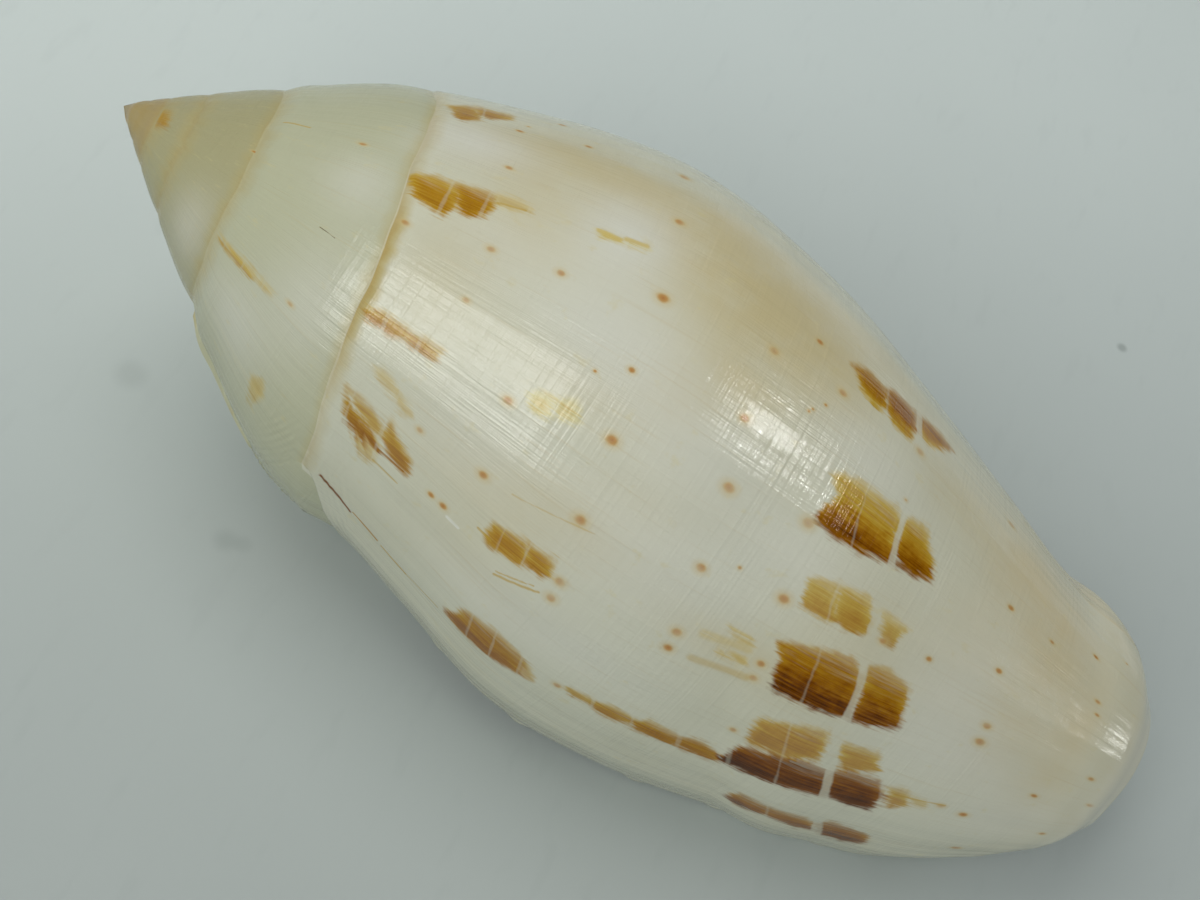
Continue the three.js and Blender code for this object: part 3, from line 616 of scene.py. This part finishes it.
# ---------- materials ----------
class Graph:
    """Short names for building a node tree."""

    def __init__(self, name):
        self.mat = bpy.data.materials.new(name)
        self.mat.use_nodes = True
        self.tree = self.mat.node_tree
        self.shader = self.tree.nodes["Principled BSDF"]

    def node(self, kind, **props):
        n = self.tree.nodes.new(kind)
        for k, v in props.items():
            setattr(n, k, v)
        return n

    def put(self, socket, value):
        if isinstance(value, bpy.types.NodeSocket):
            self.tree.links.new(value, socket)
        else:
            socket.default_value = value

    def math(self, op, a, b=0.0, c=0.0, clamp=False):
        n = self.node("ShaderNodeMath", operation=op, use_clamp=clamp)
        for s, v in zip(n.inputs, (a, b, c)):
            self.put(s, v)
        return n.outputs[0]

    def vec(self, op, a, b=None, scale=None):
        n = self.node("ShaderNodeVectorMath", operation=op)
        self.put(n.inputs[0], a)
        if b is not None:
            self.put(n.inputs[1], b)
        if scale is not None:
            self.put(n.inputs["Scale"], scale)
        return n.outputs["Value"] if op in ("LENGTH", "DISTANCE", "DOT_PRODUCT") else n.outputs["Vector"]

    def smooth(self, v, low, high, out_low=0.0, out_high=1.0):
        n = self.node("ShaderNodeMapRange", interpolation_type="SMOOTHSTEP")
        for s, x in zip(n.inputs, (v, low, high, out_low, out_high)):
            self.put(s, x)
        return n.outputs[0]

    def mix(self, fac, a, b):
        n = self.node("ShaderNodeMix", data_type="RGBA", clamp_factor=True)
        self.put(n.inputs["Factor"], fac)
        for name, v in (("A", a), ("B", b)):
            s = [i for i in n.inputs if i.name == name and i.type == "RGBA"][0]
            self.put(s, (*v, 1.0) if isinstance(v, tuple) else v)
        return [o for o in n.outputs if o.type == "RGBA"][0]

    def attr(self, name):
        return self.node("ShaderNodeAttribute", attribute_name=name).outputs["Fac"]

    def combine(self, x, y, z=0.0):
        n = self.node("ShaderNodeCombineXYZ")
        for s, v in zip(n.inputs, (x, y, z)):
            self.put(s, v)
        return n.outputs[0]

    def noise(self, where, scale=1.0, detail=2.0, rough=0.5):
        n = self.node("ShaderNodeTexNoise")
        self.put(n.inputs["Vector"], where)
        self.put(n.inputs["Scale"], scale)
        self.put(n.inputs["Detail"], detail)
        self.put(n.inputs["Roughness"], rough)
        return n.outputs["Fac"]

    def ramp(self, fac, stops):
        n = self.node("ShaderNodeValToRGB")
        e = n.color_ramp.elements
        while len(e) > 1:
            e.remove(e[-1])
        e[0].position, e[0].color = stops[0][0], (*stops[0][1], 1.0)
        for at, col in stops[1:]:
            e.new(at).color = (*col, 1.0)
        self.put(n.inputs["Fac"], fac)
        return n.outputs["Color"]


def lin(r, g, b):
    """sRGB 0-255 to linear."""
    return tuple(((c / 255) / 12.92 if c / 255 <= 0.04045 else ((c / 255 + 0.055) / 1.055) ** 2.4) for c in (r, g, b))


GAIN = 1.2


def seen(r, g, b):
    """Paint that looks like this sRGB colour in the scene's light."""
    return tuple(min(0.9, c * GAIN) for c in lin(r, g, b))


GROUND = seen(189, 190, 172)
g = Graph("shell_porcelain")
uvn = g.node("ShaderNodeUVMap", uv_map="growth")
sep = g.node("ShaderNodeSeparateXYZ")
g.put(sep.inputs[0], uvn.outputs["UV"])
X = g.math("MULTIPLY", sep.outputs["X"], GIRTH)      # millimetres along the growth direction
Z = sep.outputs["Y"]                                  # millimetres along the axis
age = g.attr("age")

# striae run along the axis, fine spiral threads across them
strand = g.noise(g.combine(g.math("MULTIPLY", X, 5.2), g.math("MULTIPLY", Z, 0.16)), 1.0, 3.0, 0.62)
fine = g.noise(g.combine(g.math("MULTIPLY", X, 13.0), g.math("MULTIPLY", Z, 0.55), 4.0), 1.0, 2.0, 0.6)
thread = g.noise(g.combine(g.math("MULTIPLY", X, 0.10), g.math("MULTIPLY", Z, 5.5), 9.0), 1.0, 2.0, 0.6)
mottle = g.noise(g.combine(g.math("MULTIPLY", X, 0.55), g.math("MULTIPLY", Z, 0.42), 2.0), 1.0, 3.0, 0.6)
patchy = g.noise(g.combine(g.math("MULTIPLY", X, 0.16), g.math("MULTIPLY", Z, 0.14), 6.0), 1.0, 2.0, 0.5)

colour = g.mix(g.smooth(patchy, 0.35, 0.7), GROUND, seen(184, 184, 164))
spire = g.smooth(age, 0.84, 1.02)
colour = g.mix(g.math("MULTIPLY", spire, 0.85), colour, seen(166, 168, 140))
colour = g.mix(g.math("MULTIPLY", g.smooth(age, 1.45, 2.2), 0.9), colour, seen(154, 150, 114))
colour = g.mix(g.math("MULTIPLY", g.smooth(age, 3.1, 4.4), 0.9), colour, seen(152, 134, 94))
tan = g.math("MULTIPLY", g.attr("tan"), g.smooth(mottle, 0.2, 0.6, 0.65, 1.0))
colour = g.mix(g.math("MULTIPLY", tan, 0.95), colour, seen(179, 167, 127))
pink = g.math("MULTIPLY", g.attr("pink"), g.smooth(mottle, 0.2, 0.75, 0.6, 1.0))
colour = g.mix(g.math("MULTIPLY", pink, 0.8), colour, seen(190, 176, 138))
# pale clouds, partly the shell's own pale patches and partly painted highlight on the penultimate whorl
colour = g.mix(g.math("MULTIPLY", g.attr("pale_and_highlight"), 0.8), colour, seen(195, 196, 186))
# faint warm streaks along the growth lines and pale flecks
streak = g.smooth(strand, 0.56, 0.74)
colour = g.mix(g.math("MULTIPLY", streak, 0.16), colour, seen(172, 150, 96))
fleck = g.noise(g.combine(g.math("MULTIPLY", X, 1.1), g.math("MULTIPLY", Z, 0.9), 13.0), 1.0, 3.0, 0.65)
colour = g.mix(g.smooth(fleck, 0.60, 0.72, 0.0, 0.28), colour, seen(188, 178, 130))

# tan line of the suture, the shell's own colour; its darker core is painted shade of the suture groove, and both are
# strongest about a quarter turn before the lip
below_n, above_n = g.attr("below"), g.attr("above")
wander = g.math("MULTIPLY_ADD", mottle, 0.8, -0.40)
near = g.math("MINIMUM", below_n, g.math("MULTIPLY", above_n, 1.15))
line = g.smooth(g.math("ADD", near, wander), 0.12, 0.62, 1.0, 0.0)
strong = g.smooth(g.math("ABSOLUTE", g.math("ADD", sep.outputs["X"], 0.245)), 0.02, 0.09, 0.85, 0.30)
colour = g.mix(g.math("MULTIPLY", line, strong), colour, seen(168, 152, 96))
# painted shade: darker core of the suture line, down in the groove
groove_shade_core = g.smooth(g.math("ADD", near, wander), 0.02, 0.2, 0.45, 0.0)
colour = g.mix(g.math("MULTIPLY", groove_shade_core, strong), colour, seen(158, 130, 66))

# blotches
blot = g.attr("blot")
rag = g.noise(g.combine(g.math("MULTIPLY", X, 7.5), g.math("MULTIPLY", Z, 0.55), 21.0), 1.0, 2.0, 0.65)
fray = g.noise(g.combine(g.math("MULTIPLY", X, 2.6), g.math("MULTIPLY", Z, 1.6), 27.0), 1.0, 2.0, 0.5)
d = g.math("ADD", blot, g.math("MULTIPLY_ADD", rag, 0.56, -0.34))
d = g.math("ADD", d, g.math("MULTIPLY_ADD", fray, 0.36, -0.18))
across = g.attr("across")
mask = g.smooth(d, -0.20, 0.15, 1.0, 0.0)
older = g.smooth(g.math("ADD", across, g.math("MULTIPLY_ADD", rag, 0.9, -0.45)), -0.1, 0.42, 0.6, 1.0)
phase_n = g.math("ADD", g.attr("breaks"), g.math("MULTIPLY_ADD", fray, 0.06, -0.03))
gap = g.math("ABSOLUTE", g.math("SUBTRACT", g.math("FRACT", g.math("ADD", phase_n, 0.5)), 0.5))
gap_wide = g.noise(g.combine(g.math("MULTIPLY", X, 0.45), g.math("FLOOR", g.math("ADD", phase_n, 0.5)), 33.0), 1.0, 1.0, 0.5)
wide_line = g.smooth(g.math("ABSOLUTE", g.math("SUBTRACT", phase_n, float(BREAKS.index(820)))), 0.35, 0.5, 1.0, 0.0)
thin_line = g.smooth(g.math("ABSOLUTE", g.math("SUBTRACT", phase_n, float(BREAKS.index(774)))), 0.35, 0.5, 1.0, 0.0)
gap_edge = g.math("ADD", g.smooth(gap_wide, 0.35, 0.65, 0.0, 0.035), g.math("MULTIPLY", wide_line, 0.05))
gap_edge = g.math("SUBTRACT", gap_edge, g.math("MULTIPLY", thin_line, 0.012))
cut = g.smooth(g.math("SUBTRACT", gap, gap_edge), -0.01, 0.045, g.math("MULTIPLY_ADD", wide_line, -0.4, 0.74), 1.0)
cover = g.math("MULTIPLY", g.math("MULTIPLY", mask, older), g.math("MULTIPLY", cut, g.math("POWER", g.attr("strength"), 0.7)))
newer = g.smooth(g.math("ADD", across, g.math("MULTIPLY_ADD", fray, 0.5, -0.25)), 0.35, 1.0)
tone = g.math("ADD", g.math("MULTIPLY", g.attr("tone_new"), newer),
              g.math("MULTIPLY", g.attr("tone_old"), g.math("SUBTRACT", 1.0, newer)))
lines_in = g.noise(g.combine(g.math("MULTIPLY", X, 9.0), g.math("MULTIPLY", Z, 0.3), 51.0), 1.0, 2.0, 0.7)
depth = g.smooth(d, -0.5, 0.0, 1.0, 0.0)
tone = g.math("ADD", tone, g.math("MULTIPLY_ADD", lines_in, 0.6, -0.31))
tone = g.math("ADD", tone, g.math("MULTIPLY_ADD", depth, 0.16, -0.10))
PAINT = [(0.0, seen(192, 184, 132)), (0.15, seen(184, 162, 86)), (0.33, seen(172, 142, 50)), (0.5, seen(158, 116, 24)),
         (0.68, seen(136, 88, 8)), (0.84, seen(108, 60, 0)), (1.0, seen(66, 31, 0))]
colour = g.mix(cover, colour, g.ramp(tone, PAINT))

# dots, a little longer than wide
P = g.combine(X, Z)
wob = g.math("MULTIPLY_ADD", fray, 0.7, 0.65)
dot = None
for low, high in ((0, 0.58), (0.58, 0.74), (0.74, 0.88), (0.88, 1.06), (1.06, 2)):
    group = [(t, z, size) for t, z, size in dots if low <= size < high]
    w = 0.195 * float(np.mean([size for _, _, size in group]))
    scaled_p = g.vec("MULTIPLY", P, (1 / w, 1 / (w * 1.2), 0))
    near_dot = None
    for t, z, size in group:
        n = g.vec("DISTANCE", scaled_p, (t * GIRTH / w, z * MM / (w * 1.2), 0.0))
        near_dot = n if near_dot is None else g.math("MINIMUM", near_dot, n)
    if low < 0.58:
        near_dot = g.math("ADD", near_dot, 0.25)
    dot = near_dot if dot is None else g.math("MINIMUM", dot, near_dot)
blur = g.noise(g.combine(g.math("MULTIPLY", X, 0.9), g.math("MULTIPLY", Z, 0.7), 71.0), 1.0, 1.0, 0.5)
spot = g.smooth(g.math("MULTIPLY", dot, wob), 0.45, 1.25, 0.9, 0.0)
halo = g.smooth(dot, 0.8, 2.3, 0.4, 0.0)
colour = g.mix(halo, colour, seen(184, 166, 118))
colour = g.mix(g.math("MULTIPLY", spot, g.smooth(blur, 0.35, 0.6, 0.45, 1.0)), colour,
               g.ramp(dot, [(0.0, seen(158, 102, 46)), (0.7, seen(172, 132, 70)), (1.0, seen(180, 152, 96))]))

# fine streaks and lines; the dark one at the lip's upper corner is painted shade
for (t0, z0), (t1, z1), w, tn, s in LINES:
    a = Vector((t0 * GIRTH, z0 * MM, 0))
    ba = Vector((t1 * GIRTH, z1 * MM, 0)) - a
    pa = g.vec("SUBTRACT", P, tuple(a))
    h = g.math("MULTIPLY", g.vec("DOT_PRODUCT", pa, tuple(ba)), 1 / ba.dot(ba), clamp=True)
    dist = g.vec("LENGTH", g.vec("SUBTRACT", pa, g.vec("SCALE", tuple(ba), scale=h)))
    dist = g.math("ADD", dist, g.math("MULTIPLY_ADD", rag, 0.16, -0.08))
    m = g.math("MULTIPLY", g.smooth(dist, w * 0.4, w * 1.9, s, 0.0), g.smooth(rag, 0.25, 0.5, 0.45, 1.0))
    if tn < 0:
        col = seen(202, 203, 194)
    elif tn > 1:
        col = seen(84, 70, 50)
    else:
        col = [c for at, c in PAINT if at >= tn - 0.08][0]
    colour = g.mix(m, colour, col)

# whitish rim at the front end
rim = g.smooth(g.math("ADD", g.attr("front"), g.math("MULTIPLY_ADD", mottle, 0.3, -0.15)), 0.15, 0.75, 0.8, 0.0)
colour = g.mix(rim, colour, seen(197, 196, 180))
g.put(g.shader.inputs["Base Color"], colour)

rough = g.math("ADD", g.math("MULTIPLY_ADD", strand, 0.12, 0.06), g.math("MULTIPLY_ADD", mottle, 0.10, -0.04))
g.put(g.shader.inputs["Roughness"], rough)
g.shader.inputs["IOR"].default_value = 1.33
g.shader.inputs["Coat Weight"].default_value = 0.08
g.shader.inputs["Coat Roughness"].default_value = 0.05
g.shader.inputs["Subsurface Weight"].default_value = 0.0
height = g.math("ADD", g.math("MULTIPLY", strand, 1.0), g.math("MULTIPLY", fine, 0.45))
height = g.math("ADD", height, g.math("MULTIPLY", thread, 1.0))
bump = g.node("ShaderNodeBump")
g.put(bump.inputs["Strength"], g.smooth(g.attr("front"), 0.3, 3.0, 0.12, 0.42))
g.put(bump.inputs["Distance"], 0.00006)
g.put(bump.inputs["Height"], height)
g.put(g.shader.inputs["Normal"], bump.outputs["Normal"])
outside_mat = g.mat

g = Graph("shell_inside")
uvn = g.node("ShaderNodeUVMap", uv_map="growth")
sep = g.node("ShaderNodeSeparateXYZ")
g.put(sep.inputs[0], uvn.outputs["UV"])
X = g.math("MULTIPLY", sep.outputs["X"], GIRTH)
Z = sep.outputs["Y"]
soft = g.noise(g.combine(g.math("MULTIPLY", X, 0.3), g.math("MULTIPLY", Z, 0.2), 2.0), 1.0, 3.0, 0.55)
strand = g.noise(g.combine(g.math("MULTIPLY", X, 3.0), g.math("MULTIPLY", Z, 0.12), 5.0), 1.0, 2.0, 0.6)
colour = g.mix(g.smooth(soft, 0.3, 0.7), seen(200, 192, 168), seen(192, 178, 140))
colour = g.mix(g.smooth(sep.outputs["X"], -0.02, -0.30, 0.0, 0.75), colour, seen(184, 154, 104))
colour = g.mix(g.smooth(strand, 0.5, 0.75, 0.0, 0.18), colour, seen(180, 158, 112))
g.put(g.shader.inputs["Base Color"], colour)
g.put(g.shader.inputs["Roughness"], g.math("MULTIPLY_ADD", soft, 0.12, 0.16))
g.shader.inputs["IOR"].default_value = 1.52
g.shader.inputs["Coat Weight"].default_value = 0.3
g.shader.inputs["Coat Roughness"].default_value = 0.1
bump = g.node("ShaderNodeBump")
g.put(bump.inputs["Strength"], 0.35)
g.put(bump.inputs["Distance"], 0.00004)
g.put(bump.inputs["Height"], strand)
g.put(g.shader.inputs["Normal"], bump.outputs["Normal"])
inside_mat = g.mat

for ob in (solid, cutter):
    ob.data.materials.append(outside_mat)
    ob.data.materials.append(inside_mat)

# ---------- take the hollow out ----------
mod = solid.modifiers.new("hollow", "BOOLEAN")
mod.operation = "DIFFERENCE"
mod.solver = "MANIFOLD"
mod.object = cutter
bpy.context.view_layer.update()
made = bpy.data.meshes.new_from_object(solid.evaluated_get(bpy.context.evaluated_depsgraph_get()))
solid.modifiers.clear()
old = solid.data
solid.data = made
bpy.data.meshes.remove(old)
bpy.data.objects.remove(cutter)
solid.name = "nut_mitre_shell"
solid.data.name = "nut_mitre_shell"

# keep the largest connected piece, rest it on its two flat spots
me = solid.data
n = len(me.vertices)
co = np.zeros(n * 3, np.float32)
me.vertices.foreach_get("co", co)
co = co.reshape(-1, 3)
edges = np.zeros(len(me.edges) * 2, np.int32)
me.edges.foreach_get("vertices", edges)
edges = edges.reshape(-1, 2)
label = np.arange(n)
while True:
    low = np.minimum(label[edges[:, 0]], label[edges[:, 1]])
    new = label.copy()
    np.minimum.at(new, edges[:, 0], low)
    np.minimum.at(new, edges[:, 1], low)
    new = new[new]
    if (new == label).all():
        break
    label = new
names, sizes = np.unique(label, return_counts=True)
print("pieces after the cut:", len(names), "largest", sizes.max(), "of", n)
if len(names) > 1:
    import bmesh
    bm = bmesh.new()
    bm.from_mesh(me)
    bm.verts.ensure_lookup_table()
    keep = names[sizes.argmax()]
    bmesh.ops.delete(bm, geom=[v for v, l in zip(bm.verts, label) if l != keep], context="VERTS")
    bm.to_mesh(me)
    bm.free()
    n = len(me.vertices)
    co = np.zeros(n * 3, np.float32)
    me.vertices.foreach_get("co", co)
    co = co.reshape(-1, 3)
co[:, 2] = np.maximum(co[:, 2], 0.0)
me.vertices.foreach_set("co", co.ravel())
me.update()
me.polygons.foreach_set("use_smooth", np.ones(len(me.polygons), bool))
me.set_sharp_from_angle(angle=math.radians(42))
print("triangles:", sum(len(p.vertices) - 2 for p in me.polygons))

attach(solid, "root")
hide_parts("shell")

# ---------- floor ----------
bpy.ops.mesh.primitive_plane_add(size=1.6, location=(0, 0, 0))
floor = bpy.context.object
floor.name = "floor"
g = Graph("floor_paper")
g.mat.name = "floor_paper"
tex = g.node("ShaderNodeTexCoord").outputs["Object"]
soft = g.noise(tex, 26.0, 3.0, 0.55)
fibre = g.noise(g.vec("MULTIPLY", tex, (900.0, 260.0, 1.0)), 1.0, 2.0, 0.6)
colour = g.mix(g.smooth(soft, 0.3, 0.7), (0.500, 0.556, 0.540), (0.522, 0.578, 0.560))
colour = g.mix(g.smooth(fibre, 0.55, 0.75, 0.0, 0.25), colour, (0.465, 0.518, 0.503))
# painted light falloff: the floor paper is painted lighter towards +Y and -X and darker on the other side, in place of
# uneven lamp light
painted_falloff = g.smooth(g.vec("DOT_PRODUCT", tex, (-0.6, 1.0, 0.0)), -0.02, 0.055, 0.87, 1.30)
colour = g.vec("SCALE", colour, scale=painted_falloff)
for at, r0, r1, dark in (((0.0205, 0.0270, 0), 0.0001, 0.0004, 0.5), ((-0.0135, -0.0071, 0), 0.0001, 0.0008, 0.2),
                         ((-0.0208, -0.0019, 0), 0.0002, 0.0011, 0.16), ((-0.0128, -0.0069, 0), 0.0001, 0.0006, 0.14)):
    colour = g.mix(g.smooth(g.vec("DISTANCE", tex, at), r0, r1, dark, 0.0), colour, (0.20, 0.235, 0.225))
g.put(g.shader.inputs["Base Color"], colour)
g.shader.inputs["Roughness"].default_value = 0.85
g.shader.inputs["Specular IOR Level"].default_value = 0.2
floor.data.materials.append(g.mat)

# ---------- camera at the photograph's angle ----------
AX, TAU = math.radians(33.0), math.radians(8.3)
F_PX, APEX_PX, MID = 2000.0, (121.0, 104.0), 600.0
tip_to_front = np.array([math.cos(AX) * math.cos(TAU), math.sin(AX) * math.cos(TAU), math.sin(TAU)])
m = -(np.array([0, 0, 1.0]) - tip_to_front[2] * tip_to_front)
m /= np.linalg.norm(m)
R = np.stack([np.cross(m, -tip_to_front), m, -tip_to_front])
depth0 = F_PX - tip_to_front[2] * MID
origin = np.array([(APEX_PX[0] - 600) * depth0 / F_PX, (APEX_PX[1] - 450) * depth0 / F_PX, depth0])
eye = AXES @ (-(origin @ R.T)) * K + TIP
right, down, ahead = AXES @ R[:, 0], AXES @ R[:, 1], AXES @ R[:, 2]
cam_data = bpy.data.cameras.new("camera")
cam = bpy.data.objects.new("camera", cam_data)
cam.matrix_world = Matrix([[right[i], -down[i], -ahead[i], eye[i]] for i in range(3)] + [[0, 0, 0, 1]])
cam_data.lens, cam_data.sensor_width, cam_data.sensor_fit = 60.0, 36.0, "HORIZONTAL"
cam_data.clip_start, cam_data.clip_end = 0.005, 10.0
bpy.context.scene.collection.objects.link(cam)
bpy.context.scene.camera = cam

# ---------- light ----------
world = bpy.data.worlds.new("world")
bpy.context.scene.world = world
world.use_nodes = True
bg = world.node_tree.nodes["Background"]
bg.inputs["Color"].default_value = (0.96, 0.99, 1.0, 1.0)
bg.inputs["Strength"].default_value = 0.25


def area(name, direction, distance, width, height, power, colour=(1, 1, 1), spin=0.0):
    data = bpy.data.lights.new(name, "AREA")
    data.shape, data.size, data.size_y, data.energy, data.color = "RECTANGLE", width, height, power, colour
    ob = bpy.data.objects.new(name, data)
    to = Vector(direction).normalized()
    quat = to.to_track_quat("Z", "Y")
    ob.matrix_world = Matrix.Translation(to * distance + Vector((0, 0, 0.01))) @ quat.to_matrix().to_4x4() @ Matrix.Rotation(spin, 4, "Z")
    bpy.context.scene.collection.objects.link(ob)
    return ob


window = area("window", (-0.38, -0.61, 0.68), 0.5, 0.15, 0.26, 1.15, (1.0, 1.0, 0.98))
window.visible_diffuse = False
wide = area("window_wide", (-0.22, -0.72, 0.70), 0.5, 0.34, 0.34, 1.10, (1.0, 1.0, 0.98))
wide.visible_glossy = False
second = area("second_window", (0.54, 0.07, 0.84), 0.6, 0.095, 0.08, 0.9, (1.0, 1.0, 0.98))
second.data.shape = "ELLIPSE"
second.visible_diffuse = False
behind = area("behind", (0.35, 1.0, 0.35), 0.6, 0.6, 0.3, 0.62, (0.97, 1.0, 1.0))
behind.visible_glossy = False
low = area("low_window", (0.45, 0.9, 0.03), 0.6, 0.5, 0.05, 0.13, (1.0, 1.0, 1.0))
low.visible_diffuse = False
side = area("side", (0.97, 0.10, 0.20), 0.5, 0.05, 0.05, 0.12, (1.0, 1.0, 0.97))
side.visible_diffuse = False
key = area("key", (-0.055, 0.012, 0.13), 0.145, 0.11, 0.11, 0.075, (1.0, 0.995, 0.97))
key.visible_glossy = False
world.cycles_visibility.glossy = False

scene = bpy.context.scene
scene.view_settings.view_transform = "Standard"
scene.view_settings.look = "None"
scene.view_settings.exposure = 0.0
scene.view_settings.gamma = 1.0
